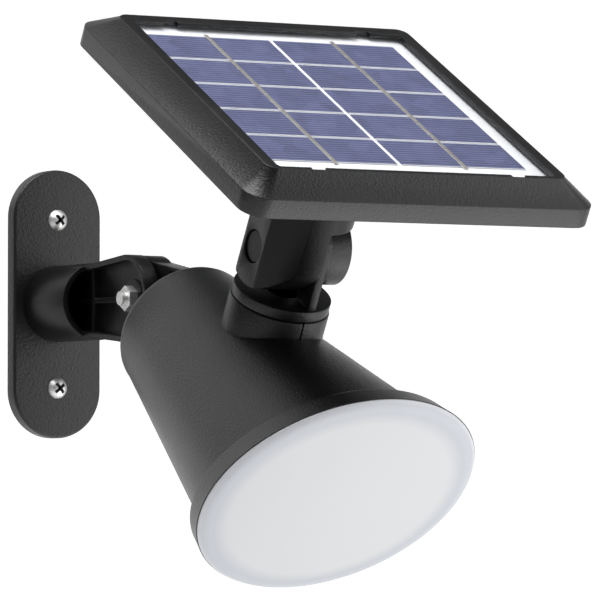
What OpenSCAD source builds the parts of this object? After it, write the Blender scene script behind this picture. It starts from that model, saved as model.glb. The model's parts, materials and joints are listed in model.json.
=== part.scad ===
// Solar wall light: wall bracket, oblique cone lamp head, and a solar panel on a swivel-and-tilt knuckle.
// Frame: origin at the centre of the wall plate's back face, +Z up, +Y into the wall.

/* [Wall bracket] */
// Height of the wall plate
plate_len = 100; // [90:1:120]
// Width of the wall plate
plate_w = 36; // [34:1:44]
// Thickness of the wall plate
plate_t = 5.6; // [5:0.1:8]
// Distance between the two wall screws
screw_spacing = 62.6; // [56:0.1:70]
// Radius of the post
post_r = 14.2; // [13.5:0.1:15]
// Distance from the wall to the end of the full post
post_end = 38; // [36:1:42]
// Distance from the wall to the lamp's tilt bolt
pivot_reach = 71; // [68:1:78]
// Radius of the bracket's ear
ear_r = 15.8; // [14:0.1:17]

/* [Lamp head] */
// Downward pitch of the lamp head at rest
head_pitch = 29; // [0:1:60]
// Distance from the tilt bolt to the centre of the lens face
lens_reach = 156; // [150:1:170]
// Height of the cone's axis over the tilt bolt
axis_rise = 6.7; // [4:0.1:8]
// Extra downward tilt of the lens face
face_tilt = 21; // [15:1:24]
// Radius of the bezel ring at the lens
ring_r = 49.2; // [48:0.1:51]
// Radius of the cone where it meets the bezel ring
cone_front_r = 43.4; // [42:0.1:44]
// Radius of the cone at its rounded back edge
cone_back_r = 25.7; // [24:0.1:28]
// Wall of the housing
wall = 2.2; // [1.8:0.1:2.6]

/* [Panel arm] */
// Distance from the tilt bolt to the swivel axis, along the head
swivel_reach = 90.6; // [88:0.1:94]
// Height of the swivel seam over the tilt bolt
seam_rise = 45.9; // [44:0.1:47]
// Radius of the swivel disc
disc_r = 17.1; // [16:0.1:18]
// Height of the panel bolt over the tilt bolt
bolt_rise = 66.2; // [65:0.1:70]
// Radius of the panel knuckle
knuckle_r = 17.5; // [17:0.1:18]

/* [Solar panel] */
// Width of the panel frame
panel_w = 132; // [130:1:140]
// Depth of the panel frame
panel_d = 138.5; // [136:0.5:146]
// Distance of the frame's lower edge over the panel bolt
frame_base = 44; // [43:0.5:46]
// Rows of cells
cell_rows = 5; // [2:1:8]
// Columns of cells
cell_columns = 2; // [1:1:4]
// Width of the cell array
array_w = 97.4; // [80:0.1:100]
// Depth of the cell array
array_d = 99; // [80:0.1:104]

/* [Hidden] */
$fn = 64;

// Small gaps: between faces that slide, and the overcut of a hole
slide = 0.05;
cut = 0.1;
// M5 tilt hardware
m5_r = 2.5;
m5_bore_r = 2.58;
m5_nut_r = 4.62;
m5_head_r = 4.6;
// Wall screws
wall_shank_r = 2.2;
wall_thread_r = 2;
wall_hole_r = 2.4;
wall_thread_len = 25;
wall_head_r = 3.9;
wall_head_h = 2.6;
// Counterbore behind the wall plate, for the post screw
counterbore_r = 9;
counterbore_t = 3.4;
post_screw_r = 3;
post_bore_r = 3.08;
// The tilt ears: the bracket's side ends at -ear_gap, the lamp's side starts at +ear_gap
ear_gap = 0.5;
ear_out = 6.2;
web_out = 2.4;
nut_seat = web_out + 0.6;
nut_seat_r = 7;
nut_t = 3.4;
arm_out = 8;
rib_t = 1.8;
// Bezel ring and lens
ring_t = 8.45;
ring_shift = ring_t * tan(face_tilt);
ring_back_r = 47.7;
lens_bed = -3.2;
ring_bore_r = 45.3;
ring_bore_shift = -1.9;
split_x = 0.3;
// Back of the housing: its flat face and the start of its rounded edge
back_face = 33.6;
back_edge = 38;
back_face_r = 21.4;
back_rise = axis_rise - 0.9;
// Swivel: bore in the collar, spigot, and the hole for the leads
collar_r = 17.5;
collar_base = 33;
swivel_bore_r = 10.05;
spigot_r = 9.97;
spigot_base = 27.6;
lead_hole_r = 6;
locknut_r = 14;
nut_room_r = 14.6;
disc_t = 3.7;
// Standing ear of the swivel, and the panel knuckle beside it
stand_in = 2.5;
stand_out = 5.3;
stand_half = 15;
boss_out = 15.5;
boss_r = 12.5;
tongue_in = 2.2;
tongue_flat = 16;
tongue_r = 17.5;
tongue_lift = 3.5;
step_rise = 13;
recess_r = 5.8;
recess_floor = 11;
// Panel: heights over the panel bolt
panel_shift = -1.2;
panel_side = 1;
corner_r = 8;
skirt_top = 50.7;
bevel_top = 57.2;
lip_top = 57.5;
lip_under = 55.8;
back_z = 45.5;
back_t = 2;
tray_top = 52;
sheet_z = 53;
cell_z = 54.6;
cell_t = 0.3;
cover_z = 55.1;
cover_t = 0.6;
lip_open_w = 105.4;
lip_open_d = 113.2;
lip_shift = -1.6;
bevel_in_w = 114;
bevel_in_d = 120;
laminate_w = 110.6;
laminate_d = 119;
tray_w = 112.6;
tray_d = 117.4;
frame_wall = 2.2;
frame_screw_x = 59.3;
frame_screw_y = 62.2;
column_gap = 1.8;
row_gap = 0.7;
ribbon_w = 1.6;
cell_w = (array_w - (cell_columns - 1) * column_gap) / cell_columns;
row_pitch = array_d / cell_rows;
// Switch on the back of the panel
switch_x = -38;
switch_y = 36;
button_r = 4.5;
button_flange_r = 5.6;

// Screws that hold the arm, the knuckle and the panel's back
arm_screw_at = 15.5;
knuckle_screw_at = 13;
tap_r = 1.55;
clear_r = 1.6;
lead_slot_x = -5;
lead_slot_r = 4;
// Notches in the frame's lip
notch_x = 38;
notch_w = 5.5;

// Battery and boards, in the head's frame
battery_r = 9.2;
battery_len = 65;
battery_start = 44;
battery_rise = -4;
board_rise = 9;
board_t = 1.6;
standoff_x = 12.8;
standoff_rows = [-52, -82];
led_board_z = -38;
led_board_r = 16.5;
led_shift = -4;
reflector_r = 38.2;

// --- frames ---
module out_of_wall() { rotate([90, 0, 0]) children(); }
module head_pose() { translate([0, -pivot_reach, 0]) rotate([head_pitch, 0, 0]) children(); }
module along_head() { translate([0, 0, axis_rise]) rotate([90, 0, 0]) children(); }
module face_pose() {
  head_pose() translate([0, -lens_reach, axis_rise]) rotate([face_tilt + 90, 0, 0]) children();
}
module swivel_pose() { head_pose() translate([0, -swivel_reach, 0]) children(); }
module bolt_pose() { swivel_pose() translate([0, 0, bolt_rise]) children(); }
module panel_pose() { bolt_pose() translate([panel_side, panel_shift, 0]) children(); }

// --- patterns of screws ---
module at_arm_screws(z) {
  translate([0, 0, back_rise - axis_rise]) along_head() for (a = [90, 210, 330]) rotate([0, 0, a])
    translate([arm_screw_at, 0, z]) children();
}
module at_knuckle_screws(z) {
  for (a = [0, 120, 240]) rotate([0, 0, a]) translate([knuckle_screw_at, 0, z]) children();
}
module at_frame_corners(z) {
  for (x = [-1, 1], y = [-1, 1]) translate([x * frame_screw_x, y * frame_screw_y, z]) children();
}
module at_standoffs(z) {
  for (x = [-1, 1], y = standoff_rows) translate([x * standoff_x, y, z]) children();
}

// --- shapes ---
module slab(x0, x1) { translate([x0, 0, 0]) rotate([90, 0, 90]) linear_extrude(x1 - x0) children(); }
module x_rod(x0, x1, r) { translate([x0, 0, 0]) rotate([0, 90, 0]) cylinder(h = x1 - x0, r = r); }
module tube(z0, z1, outer, inner) {
  difference() {
    translate([0, 0, z0]) cylinder(h = z1 - z0, r = outer);
    translate([0, 0, z0 - cut]) cylinder(h = z1 - z0 + 2 * cut, r = inner);
  }
}
module rod(a, b, r) {
  v = b - a;
  len = norm(v);
  translate(a) rotate([0, acos(v[2] / len), atan2(v[1], v[0])]) cylinder(h = len, r = r, $fn = 24);
}
// A plate with round corners, from z0 to z1
module plate(w, d, r, z0, z1) {
  translate([0, 0, z0]) {
    translate([-w / 2 + r, -d / 2, 0]) cube([w - 2 * r, d, z1 - z0]);
    translate([-w / 2, -d / 2 + r, 0]) cube([w, d - 2 * r, z1 - z0]);
    for (x = [-1, 1], y = [-1, 1])
      translate([x * (w / 2 - r), y * (d / 2 - r), 0]) cylinder(h = z1 - z0, r = r);
  }
}
module plate_frame(w, d, r, inner_w, inner_d, inner_r, z0, z1) {
  difference() {
    plate(w, d, r, z0, z1);
    plate(inner_w, inner_d, inner_r, z0 - cut, z1 + cut);
  }
}
// A screw with a domed cross-slot head: the head sits on z = 0 and the shank points down
module screw(head_r, head_h, shank_r, shank_len) {
  dome_r = (head_r * head_r + head_h * head_h) / (2 * head_h);
  slot = head_r * 0.32;
  difference() {
    intersection() {
      translate([0, 0, head_h - dome_r]) sphere(r = dome_r);
      cylinder(h = head_h, r = head_r);
    }
    for (a = [0, 90]) rotate([0, 0, a])
      translate([-head_r * 0.6, -slot / 2, head_h * 0.4]) cube([head_r * 1.2, slot, head_h]);
  }
  translate([0, 0, -shank_len]) cylinder(h = shank_len, r = shank_r, $fn = 32);
}

// --- wall bracket ---
module wall_plate() {
  color("#2b2b2d") out_of_wall() difference() {
    plate(plate_w, plate_len, plate_w / 2 - 0.001, 0, plate_t);
    for (s = [-1, 1]) translate([0, s * screw_spacing / 2, -cut])
      cylinder(h = plate_t + 2 * cut, r = wall_hole_r);
    translate([0, 0, -cut]) cylinder(h = plate_t + 2 * cut, r = post_bore_r);
    translate([0, 0, -cut]) cylinder(h = counterbore_t + cut, r = counterbore_r);
  }
}
module wall_screws() {
  color("#d9dadb") out_of_wall() for (s = [-1, 1]) translate([0, s * screw_spacing / 2, plate_t]) {
    rotate([0, 0, 40]) screw(wall_head_r, wall_head_h, wall_shank_r, plate_t);
    translate([0, 0, -plate_t - wall_thread_len]) cylinder(h = wall_thread_len, r = wall_thread_r);
  }
}
module ear_outline(grow) {
  translate([-pivot_reach, 0]) circle(r = ear_r + grow);
  polygon([[-post_end + 2, 12.7 + grow], [-pivot_reach + 1.5, ear_r + grow - 0.07],
    [-pivot_reach + 1.5, -ear_r - grow + 0.07], [-post_end + 2, -12.7 - grow]]);
}
module wall_post() {
  cavity_start = 24;
  cavity_r = post_r - 2;
  color("#232324") difference() {
    union() {
      out_of_wall() translate([0, 0, plate_t + slide]) cylinder(h = post_end - plate_t - slide, r = post_r);
      slab(-ear_out, -ear_gap) ear_outline(0);
    }
    difference() {
      union() {
        slab(-ear_out - cut, -web_out) ear_outline(-2);
        intersection() {
          out_of_wall() translate([0, 0, cavity_start]) cylinder(h = post_end, r = cavity_r);
          translate([-post_r - cut, -post_end - cut, -post_r])
            cube([post_r + cut - web_out, post_end + cut - cavity_start, 2 * post_r]);
        }
      }
      // cross ribs and the raised seat of the nut
      translate([-ear_out + 1.2, -44.2, -post_r]) cube([ear_out, rib_t, 2 * post_r]);
      translate([-ear_out + 1.8, -pivot_reach + nut_seat_r - 0.6, -rib_t / 2])
        cube([ear_out, pivot_reach - 26 - nut_seat_r, rib_t]);
      translate([0, -pivot_reach, 0]) x_rod(-nut_seat, 0, nut_seat_r);
    }
    translate([0, -pivot_reach, 0]) x_rod(-ear_out - cut, cut, m5_bore_r);
    out_of_wall() translate([0, 0, plate_t - cut]) cylinder(h = 17, r = post_bore_r);
  }
}
module post_screw() {
  color("#b9bbbd") out_of_wall() {
    difference() {
      translate([0, 0, 0.3]) cylinder(h = 2, r = 5.2);
      translate([0, 0, 0.2]) cylinder(h = 1.3, r = 2.9, $fn = 6);
    }
    translate([0, 0, 2.3]) cylinder(h = 18, r = post_screw_r);
  }
}
module post_washer() {
  color("#c9cacc") out_of_wall() tube(2.35, counterbore_t - slide, 7.5, post_bore_r);
}
module tilt_bolt() {
  color("#c4c6c8") translate([0, -pivot_reach, 0]) {
    x_rod(-ear_out - 2.2, arm_out + slide, m5_r);
    difference() {
      x_rod(arm_out + slide, arm_out + 3.6, m5_head_r);
      translate([arm_out + 2, 0, 0]) rotate([0, 90, 0]) cylinder(h = 2, r = 2.3, $fn = 6);
    }
  }
}
module tilt_nut() {
  color("#dcdddd") translate([-nut_seat - nut_t, -pivot_reach, 0]) rotate([0, 90, 0]) difference() {
    cylinder(h = nut_t, r = m5_nut_r, $fn = 6);
    translate([0, 0, -cut]) cylinder(h = nut_t + 2 * cut, r = m5_bore_r, $fn = 32);
  }
}
module friction_washer() {
  color("#3a3a3c") translate([-ear_gap, -pivot_reach, 0]) rotate([0, 90, 0])
    tube(0, 2 * ear_gap - slide, 8.5, m5_bore_r);
}

// --- lamp head ---
module arm_outline(grow) {
  circle(r = ear_r - 0.2 + grow);
  polygon([[-1.5, ear_r - 0.25 + grow], [-back_face + 2.4, 26 + grow], [-back_face + 2.4, -17.5 - grow],
    [-1.5, -ear_r + 0.25 - grow]]);
}
module head_arm() {
  flange_r = 19.5;
  flange_out = back_face - 2.5;
  color("#262627") head_pose() difference() {
    union() {
      slab(ear_gap, arm_out) arm_outline(0);
      translate([0, 0, back_rise - axis_rise]) along_head()
        translate([0, 0, flange_out]) cylinder(h = 2.4, r = flange_r);
    }
    // pocket beside the ear, open to the bracket's side
    difference() {
      slab(ear_gap - cut, arm_out - 2.6)
        polygon([[-14, 18.4], [-flange_out, 24.4], [-flange_out, -15], [-14, -14.6]]);
      x_rod(-cut, arm_out, ear_r + 1.6);
    }
    x_rod(0, arm_out + cut, m5_bore_r);
    at_arm_screws(back_face - 3) cylinder(h = 4, r = 1.8, $fn = 32);
  }
}
module arm_screws() {
  color("#b9bbbd") head_pose() at_arm_screws(back_face - 2.5) rotate([180, 0, 0]) screw(2.7, 1.6, 1.5, 4.4);
}
module cone_disc(at, r, rise) {
  translate([0, 0, rise - axis_rise]) along_head() translate([0, 0, at]) cylinder(h = 0.1, r = r);
}
module face_disc(z, r, shift) {
  translate([0, -lens_reach, axis_rise]) rotate([face_tilt + 90, 0, 0]) translate([0, shift, z])
    cylinder(h = 0.1, r = r);
}
module face_rod(z0, z1, r) {
  translate([0, -lens_reach, axis_rise]) rotate([face_tilt + 90, 0, 0]) translate([0, ring_bore_shift, z0])
    cylinder(h = z1 - z0, r = r);
}
module lamp_housing() {
  color("#323234") head_pose() difference() {
    union() {
      difference() {
        union() {
          hull() {
            cone_disc(back_face, back_face_r, back_rise, $fn = 48);
            cone_disc(back_edge, cone_back_r, back_rise, $fn = 48);
            face_disc(-ring_t, cone_front_r, -ring_shift, $fn = 48);
          }
          // flange and spigot inside the bezel ring
          face_rod(-ring_t + slide, -ring_t + 1.5, ring_bore_r - 0.1);
          face_rod(-ring_t + 1.4, lens_bed - 0.3, ring_bore_r - 2.3);
        }
        hull() {
          cone_disc(back_face + wall, back_face_r - 0.6, back_rise, $fn = 48);
          cone_disc(back_edge + 1, cone_back_r - wall, back_rise, $fn = 48);
          face_disc(-ring_t, cone_front_r - wall, -ring_shift, $fn = 48);
        }
        face_rod(-ring_t - cut, 0, ring_bore_r - 4.5);
      }
      translate([0, -swivel_reach, collar_base]) cylinder(h = seam_rise - collar_base, r = collar_r);
    }
    translate([0, -swivel_reach, 0]) {
      translate([0, 0, collar_base - cut]) cylinder(h = 20, r = swivel_bore_r);
      // flat seat for the washer and locknut
      translate([0, 0, collar_base - 5]) cylinder(h = 5, r = nut_room_r);
      tube(seam_rise - 1.6, seam_rise + cut, 14, 12);
      translate([split_x, -collar_r - cut, 36]) cube([0.6, 6, 12]);
    }
    at_arm_screws(back_face - cut) cylinder(h = 3, r = tap_r, $fn = 32);
  }
}
module bezel_ring() {
  color("#2a2a2c") head_pose() difference() {
    hull() {
      face_disc(-0.1, ring_r, 0, $fn = 60);
      face_disc(-ring_t + 0.1, ring_back_r, -ring_shift, $fn = 60);
    }
    face_rod(-ring_t - 1, 1, ring_bore_r);
    translate([0, -lens_reach, axis_rise]) rotate([face_tilt + 90, 0, 0]) translate([0, 0, lens_bed])
      cylinder(h = 4, r = 46.6);
  }
}
module lens_gasket() {
  color("#1c1c1d") face_pose() tube(lens_bed + 0.02, lens_bed + 1.1, 46.3, 45.2);
}
// The lens: a shallow dome with a rolled edge and a spigot inside the ring
module diffuser_lens() {
  edge_r = ring_r - 0.3;
  color("#eceef0") face_pose() translate([0, 0, 0.02]) rotate_extrude($fn = 96) difference() {
    union() {
      intersection() {
        translate([0, -247]) circle(r = 250.6, $fn = 360);
        square([edge_r - 5, 12]);
      }
      intersection() {
        translate([edge_r - 5, 0]) scale([5, 1]) circle(r = 1, $fn = 48);
        translate([edge_r - 5, 0]) square([5, 2]);
      }
      square([edge_r - 0.001, 0.4]);
      translate([43, lens_bed + 1.15]) square([3.3, -lens_bed - 1.15 + 0.01]);
    }
    intersection() {
      translate([0, -248.6]) circle(r = 250.6, $fn = 360);
      square([43, 12]);
    }
    translate([0, -5]) square([43, 5.01]);
  }
}
module reflector() {
  color("#f2f2f0") face_pose() translate([0, led_shift, 0]) rotate_extrude()
    polygon([[17.2, -36], [18.2, -36], [reflector_r - 0.8, -6.4], [reflector_r, -6.4], [reflector_r, -5.6],
      [reflector_r - 1.6, -5.6], [17.2, -35.2]]);
}
module led_board() {
  color("#e9ece9") face_pose() translate([0, led_shift, led_board_z]) cylinder(h = 1.6, r = led_board_r);
}
module led_chips() {
  chip = 3;
  color("#f5d76a") face_pose() translate([0, led_shift, led_board_z + 1.6])
    for (ring = [[4, 5.5], [8, 12]]) for (i = [0:ring[0] - 1])
      rotate([0, 0, i * 360 / ring[0]]) translate([ring[1] - chip / 2, -chip / 2, 0]) cube([chip, chip, 0.9]);
}
module battery_holder() {
  color("#3b3d40") head_pose() {
    difference() {
      translate([-11, -battery_start - battery_len - 2, battery_rise - 11.4]) cube([22, battery_len + 4, 9]);
      translate([0, -battery_start + 0.2, battery_rise]) rotate([90, 0, 0])
        cylinder(h = battery_len + 0.4, r = battery_r + 0.1);
    }
    for (x = [-1, 1], y = standoff_rows) difference() {
      union() {
        translate([x * standoff_x, y, battery_rise - 6]) cylinder(h = board_rise - battery_rise + 6, r = 1.8);
        translate([x * 11 - 1, y - 1.5, battery_rise - 6]) cube([2, 3, 3.6]);
      }
      translate([x * standoff_x, y, board_rise - 6]) cylinder(h = 7, r = 0.98, $fn = 24);
    }
  }
}
module battery_cell() {
  color("#2f6fb0") head_pose() translate([0, -battery_start, battery_rise]) rotate([90, 0, 0]) {
    cylinder(h = battery_len - 1.5, r = battery_r);
    translate([0, 0, battery_len - 1.5]) cylinder(h = 1.3, r = 3);
  }
}
module control_board() {
  color("#1f6b3a") head_pose() difference() {
    translate([-15, -86, board_rise + 0.02]) cube([30, 38, board_t]);
    at_standoffs(board_rise - cut) cylinder(h = board_t + 3 * cut, r = 1.1, $fn = 24);
  }
}
module control_parts() {
  top = board_rise + board_t + 0.04;
  color("#17181a") head_pose() {
    translate([-6, -62, top]) cube([6, 5, 1.6]);
    translate([5, -64, top]) cylinder(h = 4, r = 3.5);
    translate([-5, -76, top]) cylinder(h = 7, r = 2.5);
    for (i = [0:3]) translate([2 + i * 2.4, -75, top]) cube([1.2, 2, 0.8]);
  }
}
module board_screws() {
  color("#c9cacc") head_pose() at_standoffs(board_rise + board_t + 0.04) screw(1.9, 1.2, 0.95, board_t + 4);
}
module lamp_leads() {
  color("#a3262a") head_pose() for (x = [-2.5, 2.5])
    rod([x, -84, board_rise + board_t + 1], [x, -116.6, 14.6], 0.7);
}

// --- panel arm ---
module swivel_seal() {
  color("#151516") swivel_pose() translate([0, 0, seam_rise - 0.75]) rotate_extrude()
    translate([13, 0]) circle(r = 0.8, $fn = 24);
}
module swivel_base() {
  disc_z = seam_rise + 0.3;
  color("#28282a") swivel_pose() difference() {
    union() {
      translate([0, 0, disc_z]) cylinder(h = disc_t, r = disc_r);
      translate([0, 0, spigot_base]) cylinder(h = disc_z - spigot_base + cut, r = spigot_r);
      intersection() {
        translate([stand_in, -stand_half, disc_z]) cube([stand_out - stand_in, 2 * stand_half, 60]);
        union() {
          translate([0, 0, bolt_rise]) x_rod(0, 20, knuckle_r - 0.5);
          translate([0, -20, disc_z]) cube([20, 40, bolt_rise - disc_z]);
        }
      }
      translate([0, 0, bolt_rise]) x_rod(stand_out - cut, boss_out, boss_r);
    }
    translate([0, 0, spigot_base - cut]) cylinder(h = 30, r = lead_hole_r, $fn = 48);
    translate([0, 0, bolt_rise]) x_rod(0, 20, m5_bore_r);
    translate([0, 0, bolt_rise]) x_rod(boss_out - 5.5, 20, 5.4);
  }
}
module swivel_washer() {
  color("#c9cacc") swivel_pose() tube(collar_base - 1.1, collar_base - slide, 13.2, spigot_r + 0.05);
}
module swivel_locknut() {
  color("#3a3b3d") swivel_pose() difference() {
    translate([0, 0, collar_base - 4.8]) cylinder(h = 3.65, r = locknut_r, $fn = 8);
    translate([0, 0, collar_base - 6]) cylinder(h = 6, r = spigot_r + 0.05);
  }
}
module panel_bolt() {
  color("#c4c6c8") bolt_pose() {
    x_rod(-recess_floor - slide, boss_out - 0.6, m5_r);
    difference() {
      x_rod(-recess_floor - slide - 3.2, -recess_floor - slide, m5_head_r);
      translate([-recess_floor - 4, 0, 0]) rotate([0, 90, 0]) cylinder(h = 2.2, r = 2.3, $fn = 6);
    }
  }
}
module panel_nut() {
  color("#dcdddd") bolt_pose() translate([boss_out - 5.45, 0, 0]) rotate([0, 90, 0]) difference() {
    cylinder(h = 3.8, r = m5_nut_r, $fn = 6);
    translate([0, 0, -cut]) cylinder(h = 4.2, r = m5_bore_r, $fn = 32);
  }
}

// --- solar panel ---
module panel_knuckle() {
  color("#2a2a2c") bolt_pose() difference() {
    union() {
      intersection() {
        translate([0, 0, -knuckle_r]) cylinder(h = knuckle_r + step_rise + cut, r = knuckle_r);
        union() {
          translate([0, 0, tongue_lift]) x_rod(-tongue_flat, tongue_in, tongue_r);
          translate([-tongue_flat, -knuckle_r, tongue_lift])
            cube([tongue_flat + tongue_in, 2 * knuckle_r, step_rise + cut - tongue_lift]);
        }
      }
      translate([0, 0, step_rise]) cylinder(h = back_z - slide - step_rise, r = knuckle_r);
    }
    x_rod(tongue_in, stand_out + 0.3, knuckle_r + 0.1);
    x_rod(-tongue_flat - cut, tongue_in + cut, m5_bore_r);
    x_rod(-knuckle_r - cut, -recess_floor, recess_r);
    translate([lead_slot_x, 0, 10]) cylinder(h = 40, r = lead_slot_r, $fn = 32);
    at_knuckle_screws(30) cylinder(h = 20, r = tap_r, $fn = 24);
  }
}
module knuckle_screws() {
  color("#b9bbbd") bolt_pose() at_knuckle_screws(back_z + back_t) screw(2.8, 1.6, 1.5, 12);
}
module panel_back() {
  color("#262627") panel_pose() difference() {
    union() {
      plate(panel_w - 2 * frame_wall - 0.4, panel_d - 2 * frame_wall - 0.4, corner_r - frame_wall,
        back_z, back_z + back_t);
      plate_frame(tray_w, tray_d, 4, tray_w - 4.4, tray_d - 4.4, 2, back_z, tray_top);
    }
    at_frame_corners(back_z - cut) cylinder(h = back_t + 2 * cut, r = clear_r, $fn = 32);
    translate([-panel_side, -panel_shift, 0]) {
      at_knuckle_screws(back_z - cut) cylinder(h = back_t + 2 * cut, r = clear_r, $fn = 24);
      translate([lead_slot_x, 0, back_z - cut]) cylinder(h = back_t + 2 * cut, r = lead_slot_r, $fn = 32);
    }
    translate([switch_x, switch_y, back_z - cut]) cylinder(h = back_t + 2 * cut, r = button_r + 0.3);
  }
}
module bevel(w, d, r, top_w, top_d, top_r, z0, z1) {
  hull() {
    plate(w, d, r, z0, z0 + 0.01, $fn = 32);
    plate(top_w, top_d, top_r, z1 - 0.01, z1, $fn = 32);
  }
}
module panel_frame() {
  color("#3c3c3e") panel_pose() {
    difference() {
      union() {
        plate(panel_w, panel_d, corner_r, frame_base, skirt_top + 0.005);
        bevel(panel_w, panel_d, corner_r, bevel_in_w, bevel_in_d, 4, skirt_top, bevel_top);
        plate(bevel_in_w, bevel_in_d, 4, bevel_top - cut, lip_top);
      }
      plate(panel_w - 2 * frame_wall, panel_d - 2 * frame_wall, corner_r - frame_wall,
        frame_base - cut, skirt_top - 1);
      bevel(panel_w - 2 * frame_wall, panel_d - 2 * frame_wall, corner_r - frame_wall,
        laminate_w + 0.6, laminate_d + 0.6, 2, skirt_top - 1.01, lip_under);
      translate([0, lip_shift, 0]) {
        plate(lip_open_w, lip_open_d, 1.5, lip_under - cut, lip_top + cut);
        for (x = [-1, 1], y = [-1, 1]) translate([x * notch_x, y * (lip_open_d / 2 + 0.3), lip_top - 0.8])
          cube([notch_w, 2.4, 2], center = true);
      }
    }
    at_frame_corners(0) tube(back_z + back_t + slide, 52.6, 2.9, 1.45);
  }
}
module panel_gasket() {
  color("#161617") panel_pose()
    plate_frame(laminate_w - 0.6, laminate_d - 0.6, 2, laminate_w - 7, laminate_d - 7, 1.5,
      tray_top + 0.02, sheet_z - 0.02);
}
module panel_backsheet() {
  color("#f0f1f0") panel_pose() plate(laminate_w, laminate_d, 1.5, sheet_z, cell_z - 0.01);
}
module solar_cells() {
  color("#3a4c8c") bolt_pose() for (c = [0:cell_columns - 1], r = [0:cell_rows - 1])
    translate([-array_w / 2 + c * (cell_w + column_gap), -array_d / 2 + r * row_pitch + row_gap / 2, cell_z])
      cube([cell_w, row_pitch - row_gap, cell_t]);
}
module cell_ribbons() {
  color("#cfc9bd") bolt_pose() for (c = [0:cell_columns - 1])
    translate([-array_w / 2 + c * (cell_w + column_gap) + (cell_w - ribbon_w) / 2, -array_d / 2 - 1,
      cell_z + cell_t + 0.01]) cube([ribbon_w, array_d + 2, 0.12]);
}
module panel_cover() {
  color("#dfe6f2", 0.35) panel_pose() plate(laminate_w, laminate_d, 1.5, cover_z, cover_z + cover_t);
}
module frame_screws() {
  color("#b9bbbd") panel_pose() at_frame_corners(back_z) rotate([180, 0, 0]) screw(2.6, 1.2, 1.4, 5.3);
}
module junction_box() {
  color("#1d1d1e") panel_pose() translate([-10, -22, 49.2]) cube([20, 13, sheet_z - 49.25]);
}
module panel_leads() {
  color("#a3262a") bolt_pose() for (x = [-6.4, -3.6]) {
    rod([x, 0, 12], [x, 0, 50.6], 0.8);
    rod([x, -0.8, 50.4], [x, -7.6, 50.4], 0.8);
  }
}
module switch_body() {
  color("#202123") panel_pose() translate([switch_x, switch_y, 50.6]) difference() {
    translate([-6.5, -6.5, 0]) cube([13, 13, 2.3]);
    translate([0, 0, -cut]) cylinder(h = 1, r = 2);
  }
}
module switch_button() {
  color("#8d2a28") panel_pose() translate([switch_x, switch_y, 0]) {
    translate([0, 0, 44.3]) cylinder(h = 3.5, r = button_r);
    translate([0, 0, back_z + back_t + slide]) cylinder(h = 1.2, r = button_flange_r);
  }
}

wall_plate();
wall_screws();
wall_post();
post_screw();
post_washer();
tilt_bolt();
tilt_nut();
friction_washer();
head_arm();
arm_screws();
lamp_housing();
bezel_ring();
lens_gasket();
diffuser_lens();
reflector();
led_board();
led_chips();
battery_holder();
battery_cell();
control_board();
control_parts();
board_screws();
lamp_leads();
swivel_seal();
swivel_base();
swivel_washer();
swivel_locknut();
panel_bolt();
panel_nut();
panel_knuckle();
knuckle_screws();
panel_back();
panel_frame();
panel_gasket();
panel_backsheet();
solar_cells();
cell_ribbons();
panel_cover();
frame_screws();
junction_box();
panel_leads();
switch_body();
switch_button();
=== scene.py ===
import json
import math

import bmesh
import bpy
from mathutils import Matrix, Vector


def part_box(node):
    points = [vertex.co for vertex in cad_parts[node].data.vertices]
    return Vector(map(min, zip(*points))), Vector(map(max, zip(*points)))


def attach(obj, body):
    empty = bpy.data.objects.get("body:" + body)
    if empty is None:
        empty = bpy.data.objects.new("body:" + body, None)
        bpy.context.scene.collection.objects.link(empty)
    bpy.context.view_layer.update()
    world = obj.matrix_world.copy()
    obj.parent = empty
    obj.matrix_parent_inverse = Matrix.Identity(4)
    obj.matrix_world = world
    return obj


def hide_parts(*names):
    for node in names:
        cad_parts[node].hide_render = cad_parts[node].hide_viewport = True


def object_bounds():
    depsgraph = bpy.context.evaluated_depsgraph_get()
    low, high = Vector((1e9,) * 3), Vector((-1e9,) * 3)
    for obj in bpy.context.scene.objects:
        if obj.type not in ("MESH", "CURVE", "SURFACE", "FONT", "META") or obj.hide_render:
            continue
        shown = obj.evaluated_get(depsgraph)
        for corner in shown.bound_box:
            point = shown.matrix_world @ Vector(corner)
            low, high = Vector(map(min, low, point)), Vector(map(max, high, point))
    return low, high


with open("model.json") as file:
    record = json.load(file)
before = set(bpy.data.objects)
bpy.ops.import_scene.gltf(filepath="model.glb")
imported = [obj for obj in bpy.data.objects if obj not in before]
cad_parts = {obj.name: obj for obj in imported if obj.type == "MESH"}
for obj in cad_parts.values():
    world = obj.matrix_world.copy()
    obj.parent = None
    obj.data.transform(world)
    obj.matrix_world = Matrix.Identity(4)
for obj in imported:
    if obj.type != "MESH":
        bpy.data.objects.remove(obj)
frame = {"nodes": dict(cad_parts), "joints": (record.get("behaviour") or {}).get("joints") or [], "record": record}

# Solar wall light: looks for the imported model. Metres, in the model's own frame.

CAD_LOW, CAD_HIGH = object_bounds()
MM = 0.001
NODES = frame["nodes"]
JOINTS = {j["name"]: j for j in frame["joints"]}

# --- sizes that the frame doesn't give ---
FACE_TILT = math.radians(21)
LENS_R = 48.9 * MM
RING_T = 8.45 * MM
HALF_ROW_PITCH = 9.9 * MM
PLATE_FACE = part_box("wall_plate")[0].y
CAMERA_TURN = math.radians(-29.99)
# A circle this small closes on the axis, and points this near are one point
AXIS_R = 1e-6
WELD = 2e-6
# Faces within FLAT are one face, and edges over HARD_EDGE are rounded
FLAT = math.radians(0.5)
HARD_EDGE = math.radians(30)

# --- frames that follow the model's joints ---
HEAD_PITCH = math.atan2(-JOINTS["panel_swivel"]["axis"][1], JOINTS["panel_swivel"]["axis"][2])
TILT_AXIS = Vector(JOINTS["head_tilt"]["pos_m"])
PANEL_BOLT = Vector(JOINTS["panel_tilt"]["pos_m"])
HEAD = Matrix.Translation(TILT_AXIS) @ Matrix.Rotation(HEAD_PITCH, 4, "X")


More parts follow.
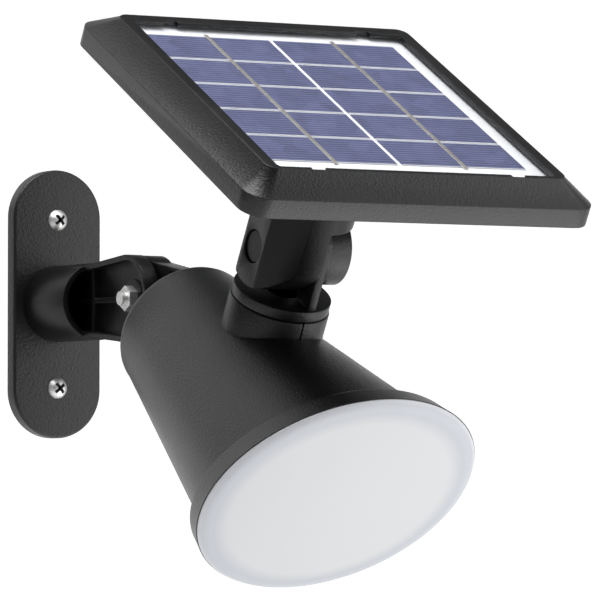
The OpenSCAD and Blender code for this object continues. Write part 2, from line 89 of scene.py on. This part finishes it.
def local_box(node, space):
    """Lowest and highest corner of a CAD node, measured along the axes of another frame."""
    inverse = space.inverted()
    points = [inverse @ v.co for v in NODES[node].data.vertices]
    low = Vector(min(p[i] for p in points) for i in range(3))
    high = Vector(max(p[i] for p in points) for i in range(3))
    return low, high


def lens_centre():
    """The middle of the lens's outer face, in the head's frame."""
    face = HEAD @ Matrix.Rotation(FACE_TILT, 4, "X")
    lens_low, lens_high = local_box("diffuser_lens", face)
    ring_low, _ = local_box("bezel_ring", face)
    return HEAD.inverted() @ (face @ Vector((0, ring_low.y, (lens_low.z + lens_high.z) / 2)))


LENS_CENTRE = lens_centre()
FACE = HEAD @ Matrix.Translation(LENS_CENTRE) @ Matrix.Rotation(FACE_TILT + math.pi / 2, 4, "X")


# ---------------------------------------------------------------- materials
class Nodes:
    """A small helper that wires up one material's node tree."""

    def __init__(self, name):
        self.material = bpy.data.materials.new(name)
        self.material.use_nodes = True
        self.tree = self.material.node_tree
        self.shader = self.tree.nodes["Principled BSDF"]

    def add(self, kind, **settings):
        node = self.tree.nodes.new(kind)
        for key, value in settings.items():
            if hasattr(node, key):
                setattr(node, key, value)
            else:
                node.inputs[key.replace("_", " ")].default_value = value
        return node

    def link(self, source, target):
        self.tree.links.new(source, target)

    def set(self, **values):
        for key, value in values.items():
            self.shader.inputs[key.replace("_", " ")].default_value = value

    def place(self, rotation, centre):
        """Object coordinates, moved to a centre and turned about X."""
        coords = self.add("ShaderNodeTexCoord")
        shift = self.add("ShaderNodeVectorMath", operation="SUBTRACT")
        shift.inputs[1].default_value = centre
        self.link(coords.outputs["Object"], shift.inputs[0])
        turn = self.add("ShaderNodeVectorRotate", rotation_type="X_AXIS")
        turn.inputs["Angle"].default_value = -rotation
        self.link(shift.outputs[0], turn.inputs["Vector"])
        return turn.outputs["Vector"]

    def math(self, operation, value, constant):
        """One maths step between a socket and a constant."""
        node = self.add("ShaderNodeMath", operation=operation)
        self.link(value, node.inputs[0])
        node.inputs[1].default_value = constant
        return node.outputs[0]

    def mix(self, factor, under, over):
        """One colour socket under a constant colour."""
        node = self.add("ShaderNodeMix", data_type="RGBA")
        self.link(factor, node.inputs["Factor"])
        self.link(under, node.inputs["A"])
        node.inputs["B"].default_value = (*over, 1)
        return node.outputs["Result"]

    def noise(self, scale, detail=2.0, roughness=0.5):
        """Noise over the object; the scale is in features per metre."""
        node = self.add("ShaderNodeTexNoise", Scale=scale, Detail=detail, Roughness=roughness)
        coords = self.add("ShaderNodeTexCoord")
        self.link(coords.outputs["Object"], node.inputs["Vector"])
        return node.outputs["Fac"]

    def ramp(self, factor, stops):
        """Colours along a factor, from (position, colour) stops."""
        node = self.add("ShaderNodeValToRGB")
        band = node.color_ramp
        while len(band.elements) < len(stops):
            band.elements.new(0.5)
        for element, (position, colour) in zip(band.elements, stops):
            element.position = position
            element.color = (*colour, 1)
        self.link(factor, node.inputs["Fac"])
        return node.outputs["Color"]

    def bump(self, height, strength, distance, edge_radius=0.0):
        """Relief on the surface, over edges that are softened by the given radius."""
        node = self.add("ShaderNodeBump", Strength=strength, Distance=distance)
        self.link(height, node.inputs["Height"])
        if edge_radius:
            edge = self.add("ShaderNodeBevel", samples=6, Radius=edge_radius)
            self.link(edge.outputs["Normal"], node.inputs["Normal"])
        self.link(node.outputs["Normal"], self.shader.inputs["Normal"])

    def roughness(self, factor, low, high):
        node = self.add("ShaderNodeMapRange")
        node.inputs["To Min"].default_value = low
        node.inputs["To Max"].default_value = high
        self.link(factor, node.inputs["Value"])
        self.link(node.outputs["Result"], self.shader.inputs["Roughness"])


def moulded(name, dark, light, grain=1700, rough=(0.42, 0.6), strength=0.35, shine=0.5):
    """Moulded plastic with a spark-eroded grain and slightly softened edges."""
    n = Nodes(name)
    patches = n.noise(45, 3)
    n.link(n.ramp(patches, [(0.3, dark), (0.7, light)]), n.shader.inputs["Base Color"])
    n.roughness(patches, *rough)
    n.set(Specular_IOR_Level=shine)
    n.bump(n.noise(grain, 3, 0.6), strength, 0.2 * MM, 0.5 * MM)
    return n.material


def metal(name, tint, rough):
    """Plated metal with faint wear."""
    n = Nodes(name)
    wear = n.noise(700, 4)
    worn = tuple(c * 0.8 for c in tint)
    n.link(n.ramp(wear, [(0.3, worn), (0.7, tint)]), n.shader.inputs["Base Color"])
    n.set(Metallic=1.0)
    n.roughness(wear, *rough)
    n.bump(wear, 0.12, 0.1 * MM, 0.2 * MM)
    return n.material


def milky_lens():
    """Opal plastic: nearly even in the middle, with painted shade (a little bluer and darker) on its rolled edge
    and a painted highlight on its outer rim.
    """
    n = Nodes("opal_lens")
    coords = n.add("ShaderNodeTexCoord")
    reach = n.add("ShaderNodeVectorMath", operation="DISTANCE")
    reach.inputs[1].default_value = HEAD @ LENS_CENTRE
    n.link(coords.outputs["Object"], reach.inputs[0])
    spread = n.add("ShaderNodeMapRange")
    spread.inputs["From Max"].default_value = LENS_R
    n.link(reach.outputs["Value"], spread.inputs["Value"])
    # painted shade on the rolled edge beside the bezel, then a painted highlight at the very rim
    tone = n.ramp(spread.outputs["Result"], [
        (0.0, (0.56, 0.57, 0.58)), (0.80, (0.555, 0.56, 0.57)),
        (0.90, (0.45, 0.465, 0.50)), (0.975, (0.48, 0.495, 0.53)), (1.0, (0.66, 0.67, 0.70))])
    n.link(tone, n.shader.inputs["Base Color"])
    n.set(Roughness=0.42)
    n.bump(n.noise(260, 2), 0.05, 0.2 * MM)
    return n.material


def solar_cell():
    """Blue polycrystalline silicon: crystal grains, fine silver fingers and a satin top."""
    finger_pitch, finger_share, border_w = 1.72 * MM, 0.13, 0.78 * MM
    n = Nodes("polycrystalline_cell")
    flat = n.place(HEAD_PITCH, PANEL_BOLT)
    grains = n.add("ShaderNodeTexVoronoi", Scale=170.0, Randomness=1.0)
    n.link(flat, grains.inputs["Vector"])
    crystal = n.ramp(grains.outputs["Color"], [
        (0.0, (0.020, 0.025, 0.095)), (0.5, (0.035, 0.042, 0.135)), (1.0, (0.060, 0.068, 0.18))])
    split = n.add("ShaderNodeSeparateXYZ")
    n.link(flat, split.inputs["Vector"])
    along = split.outputs["Y"]
    place_in_pitch = n.math("FRACT", n.math("DIVIDE", along, finger_pitch), 0)
    fingers = n.mix(n.math("LESS_THAN", place_in_pitch, finger_share), crystal, (0.24, 0.26, 0.40))
    # bare white edge along every row
    from_row = n.math("PINGPONG", along, HALF_ROW_PITCH)
    border = n.math("GREATER_THAN", from_row, HALF_ROW_PITCH - border_w)
    n.link(n.mix(border, fingers, (0.60, 0.61, 0.64)), n.shader.inputs["Base Color"])
    n.roughness(grains.outputs["Distance"], 0.28, 0.45)
    return n.material


def laminate():
    """The white sheet behind the cells, with a faint weave."""
    n = Nodes("white_laminate")
    weave = n.noise(420, 2)
    tone = n.ramp(weave, [(0.3, (0.80, 0.81, 0.83)), (0.7, (0.86, 0.87, 0.88))])
    n.link(tone, n.shader.inputs["Base Color"])
    n.roughness(weave, 0.3, 0.45)
    n.bump(weave, 0.05, 0.1 * MM)
    return n.material


def clear_cover():
    """The clear resin over the cells: only its sheen shows."""
    n = Nodes("clear_resin")
    ripple = n.noise(120, 2)
    n.roughness(ripple, 0.18, 0.3)
    n.bump(ripple, 0.06, 0.3 * MM)
    tone = n.ramp(ripple, [(0.3, (0.8, 0.84, 0.95)), (0.7, (0.86, 0.9, 1.0))])
    n.link(tone, n.shader.inputs["Base Color"])
    n.set(Alpha=0.03)
    return n.material


def assign(material, node):
    """Gives a CAD node one finish in every one of its material places."""
    mesh = NODES[node].data
    if not mesh.materials:
        mesh.materials.append(material)
    for i in range(len(mesh.materials)):
        mesh.materials[i] = material


BLACK = moulded("black_plastic", (0.0042, 0.0042, 0.0046), (0.0062, 0.0062, 0.0066),
                grain=1150, rough=(0.32, 0.42), strength=0.9)
# a darker, less shiny copy of the black plastic: painted shade on the wall post, head arm and knuckle and in the
# screw slots; the bolt plug uses it too
PAINTED_SHADE_BLACK = moulded("satin_black_painted_shade", (0.0035, 0.0035, 0.0038), (0.005, 0.005, 0.0054),
                     grain=1150, rough=(0.34, 0.42), strength=0.5, shine=0.22)
SEAL = moulded("seal_rubber", (0.01, 0.01, 0.01), (0.02, 0.02, 0.02), grain=900, rough=(0.7, 0.85))
GREY = moulded("grey_plastic", (0.05, 0.05, 0.055), (0.08, 0.08, 0.085))
GREEN = moulded("circuit_board", (0.02, 0.16, 0.06), (0.03, 0.21, 0.08), grain=600, rough=(0.3, 0.45))
WHITE = moulded("white_plastic", (0.78, 0.78, 0.76), (0.86, 0.86, 0.84), rough=(0.2, 0.35))
WRAP = moulded("battery_wrap", (0.03, 0.14, 0.4), (0.05, 0.2, 0.52), grain=500, rough=(0.25, 0.4))
AMBER = moulded("led_phosphor", (0.75, 0.6, 0.1), (0.85, 0.72, 0.2), grain=900, rough=(0.3, 0.4))
RED = moulded("red_plastic", (0.3, 0.02, 0.02), (0.42, 0.035, 0.03), rough=(0.35, 0.5))
ZINC = metal("zinc_plate", (0.86, 0.86, 0.85), rough=(0.42, 0.55))
DARK_STEEL = metal("black_oxide_steel", (0.06, 0.06, 0.062), rough=(0.35, 0.5))
RIBBON = metal("tinned_ribbon", (0.80, 0.76, 0.68), rough=(0.3, 0.5))

BY_SLOT = {
    "black_plastic": BLACK, "zinc_steel": ZINC, "seal_rubber": SEAL, "milky_lens": milky_lens(),
    "white_plastic": WHITE, "board": GREEN, "led_yellow": AMBER, "grey_plastic": GREY,
    "battery_wrap": WRAP, "component_black": BLACK, "lead_red": RED, "white_laminate": laminate(),
    "solar_cell": solar_cell(), "tinned_ribbon": RIBBON, "clear_cover": clear_cover(), "button_red": RED,
}
for part in frame["record"]["subparts"]:
    assign(BY_SLOT[part["material_slot"]], part["node"])
assign(DARK_STEEL, "panel_bolt")


# ---------------------------------------------------------------- mesh tools
def piece(name, bm, material, body, slot, *replaced):
    """Makes an object from a bmesh, gives it a finish and a body, and hides what it replaces."""
    bmesh.ops.recalc_face_normals(bm, faces=bm.faces)
    mesh = bpy.data.meshes.new(name)
    bm.to_mesh(mesh)
    bm.free()
    obj = bpy.data.objects.new(name, mesh)
    bpy.context.scene.collection.objects.link(obj)
    mesh.materials.append(material)
    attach(obj, body)
    if replaced:
        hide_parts(*replaced)
    return obj


def smooth(obj, angle=35):
    """Smooth shading, with edges over the angle kept sharp."""
    for face in obj.data.polygons:
        face.use_smooth = True
    obj.data.set_sharp_from_angle(angle=math.radians(angle))
    return obj


def loft(bm, rings, space, closed=False):
    """Skins a list of rings of points, in the given frame; closed joins the last ring to the first."""
    made = [[bm.verts.new(space @ Vector(p)) for p in ring] for ring in rings]
    pairs = list(zip(made, made[1:])) + ([(made[-1], made[0])] if closed else [])
    for a, b in pairs:
        count = len(a)
        for i in range(count):
            bm.faces.new((a[i], a[(i + 1) % count], b[(i + 1) % count], b[i]))
    return made


def circle(r, z, shift=0.0, count=160):
    """A ring of points, moved along Y by the shift."""
    return [(r * math.cos(t), r * math.sin(t) + shift, z)
            for t in (2 * math.pi * i / count for i in range(count))]


def arc(cx, cz, r, start, end, count=6):
    """Points (radius, height) along an arc, its angles in degrees."""
    return [(cx + r * math.cos(math.radians(start + (end - start) * i / count)),
             cz + r * math.sin(math.radians(start + (end - start) * i / count)))
            for i in range(count + 1)]


def rounded_ring(w, d, r, z, count):
    """A rectangle with round corners, as a ring of points."""
    ring = []
    for sx, sy, start in ((1, 1, 0), (-1, 1, 90), (-1, -1, 180), (1, -1, 270)):
        for i in range(count + 1):
            t = math.radians(start + 90 * i / count)
            ring.append((sx * (w / 2 - r) + r * math.cos(t), sy * (d / 2 - r) + r * math.sin(t), z))
    return ring


# ---------------------------------------------------------------- camera, floor and light
def studio():
    """The camera, the white sweep, a dim sky and five soft lamps."""
    cam = bpy.data.cameras.new("camera")
    cam.lens, cam.sensor_width = 276.1, 36
    cam.clip_end = 20
    view = bpy.data.objects.new("camera", cam)
    view.location = (-0.7785, -1.5352, -0.0595)
    view.rotation_euler = (math.radians(92.04), 0, CAMERA_TURN)
    bpy.context.scene.collection.objects.link(view)
    bpy.context.scene.camera = view

    sweep()
    world = bpy.data.worlds.new("world")
    bpy.context.scene.world = world
    world.use_nodes = True
    world.node_tree.nodes["Background"].inputs["Color"].default_value = (0.95, 0.97, 1, 1)
    world.node_tree.nodes["Background"].inputs["Strength"].default_value = 0.10

    aim = Vector((0, -0.14, 0))
    for name, place, power in (
        ("low_right", (0.55, -0.55, -0.77), 4.5),
        ("right", (0.715, -0.825, 0.055), 4.1),
        ("high_right", (0.55, -0.55, 0.77), 2.2),
        ("back_rim", (-0.33, 0.759, 0.715), 1.9),
        ("over_panel", (-0.3, -0.33, 1.0), 15.0),
    ):
        light = bpy.data.lights.new(name, "AREA")
        light.size, light.energy = 0.8, power
        lamp = bpy.data.objects.new(name, light)
        lamp.location = place
        lamp.rotation_euler = (aim - Vector(place)).to_track_quat("-Z", "Y").to_euler()
        bpy.context.scene.collection.objects.link(lamp)
    bpy.context.scene.view_settings.view_transform = "Standard"


def sweep():
    """One white sheet: a floor that curves up into a wall behind the lamp, square to the camera."""
    floor_z, front, back, top, radius, half_width = CAD_LOW.z - 1.2, -4.0, 4.0, 2.0, 1.2, 8.0
    profile = [(front, floor_z), (back - radius, floor_z)]
    profile += [(back - radius + radius * math.sin(t), floor_z + radius * (1 - math.cos(t)))
                for t in (math.radians(6 * i) for i in range(1, 16))]
    profile.append((back, top))
    away = Matrix.Rotation(CAMERA_TURN, 4, "Z")
    bm = bmesh.new()
    rows = [[bm.verts.new(away @ Vector((x, y, z))) for x in (-half_width, half_width)]
            for y, z in profile]
    for low, high in zip(rows, rows[1:]):
        bm.faces.new((low[0], low[1], high[1], high[0]))
    mesh = bpy.data.meshes.new("sweep")
    bm.to_mesh(mesh)
    bm.free()
    for face in mesh.polygons:
        face.use_smooth = True
    sheet = bpy.data.objects.new("sweep", mesh)
    bpy.context.scene.collection.objects.link(sheet)
    n = Nodes("white_paper")
    paper = n.noise(30, 2)
    tone = n.ramp(paper, [(0.0, (0.84, 0.84, 0.84)), (1.0, (0.86, 0.86, 0.86))])
    n.link(tone, n.shader.inputs["Base Color"])
    n.set(Roughness=0.95, Emission_Color=(1, 1, 1, 1), Emission_Strength=0.655)
    mesh.materials.append(n.material)


# ---------------------------------------------------------------- pieces
def make_wall_plate():
    """Pill-shaped plate with a small rolled edge."""
    low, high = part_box("wall_plate")
    w, h, t, edge = high.x - low.x, high.z - low.z, high.y - low.y, 0.9 * MM
    space = Matrix.Rotation(math.pi / 2, 4, "X")
    bm = bmesh.new()
    corner_slack = 0.01 * MM
    insets = [(0, 0)] + [(edge - r, z) for r, z in arc(0, t - edge, edge, 0, 90)]
    rings = [rounded_ring(w - 2 * i, h - 2 * i, w / 2 - i - corner_slack, z, 24) for i, z in insets]
    made = loft(bm, rings, space)
    bm.faces.new(made[0])
    bm.faces.new(made[-1])
    smooth(piece("plate_body", bm, BLACK, "wall_mount", "black_plastic", "wall_plate"))


def make_housing():
    """Oblique cone shell with a rounded back edge."""
    wall, front_r, mouth_r = 2.2 * MM, 43.4 * MM, 14 * MM
    flat_r, rounding_r, inner_back_r = 21.4 * MM, 4.4 * MM, 23.6 * MM
    back_y, rise = local_box("lamp_housing", HEAD)[1].y, 5.8 * MM
    shift = -RING_T * math.tan(FACE_TILT)
    to_head = HEAD.inverted() @ FACE
    front, inner_front = ([to_head @ Vector(p) for p in circle(r, -RING_T, shift)]
                          for r in (front_r, front_r - wall))

    def back(r, depth):
        # the back circles run the same way round as the front one
        return [Vector((x, back_y - depth, y + rise)) for x, y, z in circle(r, 0)]

    rings = [back(mouth_r, 0)]
    rings += [back(r, z) for r, z in arc(flat_r, rounding_r, rounding_r, -90, 8, 8)]
    edge, steps = rings[-1], 6
    for i in range(1, steps + 1):
        rings.append([a.lerp(b, i / steps) for a, b in zip(edge, front)])
    rings += [inner_front, back(inner_back_r, 5 * MM), back(mouth_r, wall)]
    bm = bmesh.new()
    loft(bm, rings, HEAD, closed=True)
    smooth(piece("housing_shell", bm, BLACK, "lamp_head", "black_plastic", "lamp_housing"))


def make_collar():
    """The swivel's collar on the housing, with its seal groove and the slit at the front."""
    swivel_y = (HEAD.inverted() @ Vector(JOINTS["panel_swivel"]["pos_m"])).y
    space = HEAD @ Matrix.Translation((0, swivel_y, 0))
    outer, bore, top, base = 17.5, 10.05, 45.9, 33.0
    groove_out, groove_in, groove_floor = 14, 12, top - 1.6
    slit_left, slit_right, slit_floor, steps = 0.3, 0.9, 14.3, 150
    profile = [(outer, base), (outer, top - 0.5), (outer - 0.15, top - 0.15), (outer - 0.5, top),
               (groove_out, top), (groove_out, groove_floor), (groove_in, groove_floor),
               (groove_in, top), (bore, top), (bore, base)]
    start = math.asin(slit_right / outer) - math.pi / 2
    end = 1.5 * math.pi + math.asin(slit_left / outer)
    angles = [start + (end - start) * i / steps for i in range(steps + 1)]
    rings = []
    for r, z in profile:
        inner = min(r, slit_floor)
        turns = [(r, t) for t in angles] + [(inner, end), (inner, start)]
        rings.append([(q * math.cos(t) * MM, q * math.sin(t) * MM, z * MM) for q, t in turns])
    bm = bmesh.new()
    loft(bm, rings, space, closed=True)
    smooth(piece("swivel_collar", bm, BLACK, "lamp_head", "black_plastic", "lamp_housing"), 25)


def make_bolt_plug():
    """The plain plug pressed over the panel bolt's head, with a soft rim."""
    space = Matrix.Translation(PANEL_BOLT) @ Matrix.Rotation(-math.pi / 2, 4, "Y")
    seat, rim, top, plug_r = 14.3 * MM, 15.1 * MM, 15.4 * MM, 5.6 * MM
    profile = [(AXIS_R, seat), (plug_r, seat), (plug_r, rim), (plug_r - 0.3 * MM, top), (AXIS_R, top)]
    bm = bmesh.new()
    loft(bm, [circle(r, z, count=64) for r, z in profile], space)
    bmesh.ops.remove_doubles(bm, verts=bm.verts, dist=WELD)
    smooth(piece("bolt_plug", bm, PAINTED_SHADE_BLACK, "panel", "black_plastic"))


def make_screw_slot_shade():
    """Painted shade: dark floors set into the two wall screws' cross slots, where the recess lies in shadow."""
    spacing, half, arm, turn = 31.3 * MM, 0.62 * MM, 2.3 * MM, math.radians(40)
    depths = (PLATE_FACE - 1.0 * MM, PLATE_FACE - 1.55 * MM)
    corners = ((-arm, -half), (arm, -half), (arm, half), (-arm, half))
    bm = bmesh.new()
    for side in (-1, 1):
        centre = Vector((0, 0, side * spacing))
        for angle in (turn, turn + math.pi / 2):
            along = Vector((math.cos(angle), 0, math.sin(angle)))
            across = Vector((-math.sin(angle), 0, math.cos(angle)))
            made = loft(bm, [[centre + along * a + across * b + Vector((0, depth, 0))
                              for a, b in corners] for depth in depths], Matrix())
            bm.faces.new(made[0])
            bm.faces.new(made[1])
    # painted shade: the slot floors take the dark shade material
    piece("screw_slot_painted_shade", bm, PAINTED_SHADE_BLACK, "wall_mount", "component_black")


def make_bezel():
    """The oblique ring round the lens, with soft edges."""
    lean, bore_lean = math.tan(FACE_TILT), 0.62 * math.tan(FACE_TILT)
    outside = [(47.2, -8.45), (47.55, -8.3), (47.7, -7.9), (49.05, -0.55), (49.2, -0.15), (49.0, 0.0)]
    inside = [(46.6, 0.0), (46.6, -3.2), (45.3, -3.2), (45.3, -8.45)]
    rings = [circle(r * MM, z * MM, z * MM * slope)
             for part, slope in ((outside, lean), (inside, bore_lean)) for r, z in part]
    bm = bmesh.new()
    loft(bm, rings, FACE, closed=True)
    smooth(piece("bezel", bm, BLACK, "lamp_head", "black_plastic", "bezel_ring"))


def make_lens():
    """A shallow opal dome with a rolled edge."""
    r, rise, edge, edge_rise = LENS_R, 3.55 * MM, 5 * MM, 2 * MM
    profile = [(44 * MM, -2 * MM), (46.2 * MM, -2 * MM), (46.2 * MM, 0.05 * MM),
               (r, 0.05 * MM), (r, 0.36 * MM)]
    profile += [(r - edge + edge * math.cos(t), edge_rise * math.sin(t))
                for t in (math.radians(6 * i) for i in range(2, 15))]
    (dome_r, dome_z), steps = profile[-1], 12
    profile += [(dome_r * (1 - i / steps), dome_z + (rise - dome_z) * (1 - (1 - i / steps) ** 2))
                for i in range(1, steps + 1)]
    bm = bmesh.new()
    loft(bm, [circle(max(a, AXIS_R), z) for a, z in profile], FACE)
    bmesh.ops.remove_doubles(bm, verts=bm.verts, dist=5e-6)
    smooth(piece("opal_lens", bm, BY_SLOT["milky_lens"], "lamp_head", "milky_lens", "diffuser_lens"), 50)


def soften(node, body, width, material):
    """A copy of a CAD node with its outside edges rounded, which only takes material off."""
    bm = bmesh.new()
    bm.from_mesh(NODES[node].data)
    bmesh.ops.remove_doubles(bm, verts=bm.verts, dist=WELD)
    bmesh.ops.dissolve_limit(bm, angle_limit=FLAT, verts=bm.verts, edges=bm.edges)
    hard = [e for e in bm.edges
            if len(e.link_faces) == 2 and e.calc_face_angle(0) > HARD_EDGE and e.is_convex]
    bmesh.ops.bevel(bm, geom=hard, offset=width, segments=2, profile=0.6, affect="EDGES",
                    clamp_overlap=True)
    smooth(piece(node + "_soft", bm, material, body, "black_plastic", node), 40)


studio()
soften("panel_frame", "panel", 0.4 * MM, BLACK)
# the wall post, head arm and knuckle take the darker copy of the black plastic as painted shade
soften("wall_post", "wall_arm", 0.3 * MM, PAINTED_SHADE_BLACK)
soften("head_arm", "lamp_head", 0.35 * MM, PAINTED_SHADE_BLACK)
soften("swivel_base", "panel_arm", 0.3 * MM, BLACK)
soften("panel_knuckle", "panel", 0.35 * MM, PAINTED_SHADE_BLACK)
make_wall_plate()
make_housing()
make_collar()
make_bezel()
make_lens()
make_bolt_plug()
make_screw_slot_shade()
